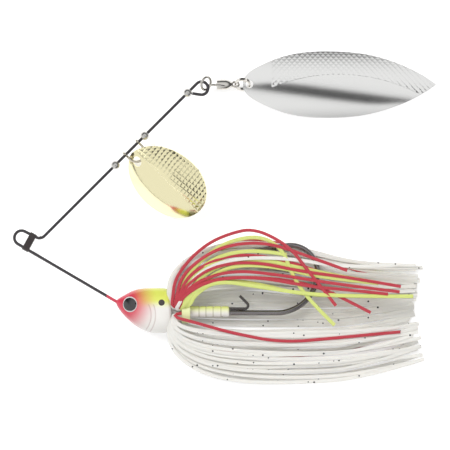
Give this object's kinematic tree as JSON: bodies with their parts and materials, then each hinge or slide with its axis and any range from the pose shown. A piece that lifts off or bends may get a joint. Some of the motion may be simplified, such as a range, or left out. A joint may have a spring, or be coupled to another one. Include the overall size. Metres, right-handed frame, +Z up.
{
  "type": "spinnerbait",
  "caption": "Spinnerbait with a bent V of wire, painted fish head, fringed silicone skirt, single hook, hammered round blade on a clevis and leaf blade on a ball bearing swivel.",
  "frame": {"origin": "centre of the line tie's eye, in the middle of the wire frame's plane", "axes": "the lure lies on its side on a level surface: +Z is up, square to the wire frame's plane; +X runs from the line tie towards the skirt's tail and the leaf blade's tip; +Y runs from the hook's side of the lure towards the blades"},
  "size_m": [0.1358, 0.1051, 0.0116],
  "materials": {
    "wire": "smoked stainless wire",
    "thread": "varnished whipping thread",
    "bead": "polished metal bead",
    "hook": "black nickel",
    "head_paint": "gloss paint over lead, red nose, yellow back, white sides",
    "band": "matte rubber band",
    "eye_foil": "silvered eye disc",
    "eye_dome": "clear domed resin over a black pupil",
    "pearl_skirt": "pearl silicone with black fleck",
    "red_skirt": "red silicone",
    "chartreuse_skirt": "chartreuse silicone",
    "clevis_metal": "bright plated wire",
    "gold_blade": "pale gold plate, part hammered",
    "swivel_metal": "nickel plate",
    "silver_blade": "silver plate, part hammered"
  },
  "bodies": {
    "lure": {"wire_frame": "wire", "line_tie_binding": "thread", "lower_stop_bead": "bead", "upper_stop_bead": "bead", "loop_bead": "bead", "hook": "hook", "bait_keeper_wire": "hook", "head_casting": "head_paint", "skirt_band": "band", "upper_eye_foil": "eye_foil", "lower_eye_foil": "eye_foil", "upper_eye_dome": "eye_dome", "lower_eye_dome": "eye_dome", "pearl_strands": "pearl_skirt", "red_strands": "red_skirt", "chartreuse_strands": "chartreuse_skirt"},
    "clevis": {"clevis": "clevis_metal"},
    "round_blade": {"round_blade": "gold_blade"},
    "swivel_ring": {"swivel_ring": "swivel_metal"},
    "swivel_front": {"swivel_front_eye": "swivel_metal"},
    "swivel_body": {"swivel_barrel": "swivel_metal", "swivel_cap": "swivel_metal", "swivel_balls": "swivel_metal", "swivel_rear_eye": "swivel_metal"},
    "split_ring": {"split_ring": "swivel_metal"},
    "leaf_blade": {"leaf_blade": "silver_blade"}
  },
  "joints": [
    {"name": "clevis_spin", "type": "hinge", "parent": "lure", "child": "clevis", "pos_m": [0.0353, 0.02857, 0], "axis": [0.7071, 0.7071, 0], "continuous": true},
    {"name": "round_blade_swing", "type": "hinge", "parent": "clevis", "child": "round_blade", "pos_m": [0.03676, 0.02711, 0.0004], "axis": [-0.1349, 0.1349, 0.9816], "range_deg": [-35, 45]},
    {"name": "swivel_ring_swing", "type": "hinge", "parent": "lure", "child": "swivel_ring", "pos_m": [0.05757, 0.04788, 0], "axis": [0, 0, 1], "range_deg": [-12, 60]},
    {"name": "swivel_pitch", "type": "hinge", "parent": "swivel_ring", "child": "swivel_front", "pos_m": [0.06029, 0.04896, -0.00161], "axis": [0.342, 0.9397, 0], "range_deg": [-30, 30]},
    {"name": "swivel_spin", "type": "hinge", "parent": "swivel_front", "child": "swivel_body", "pos_m": [0.06049, 0.04897, -0.00163], "axis": [0.9919, 0.0346, -0.1219], "continuous": true},
    {"name": "split_ring_swing", "type": "hinge", "parent": "swivel_body", "child": "split_ring", "pos_m": [0.06842, 0.04925, -0.00261], "axis": [0, 0.6428, 0.766], "range_deg": [-15, 15]},
    {"name": "leaf_blade_swing", "type": "hinge", "parent": "split_ring", "child": "leaf_blade", "pos_m": [0.0707, 0.04925, -0.00261], "axis": [0, -0.766, 0.6428], "range_deg": [-40, 40]}
  ]
}
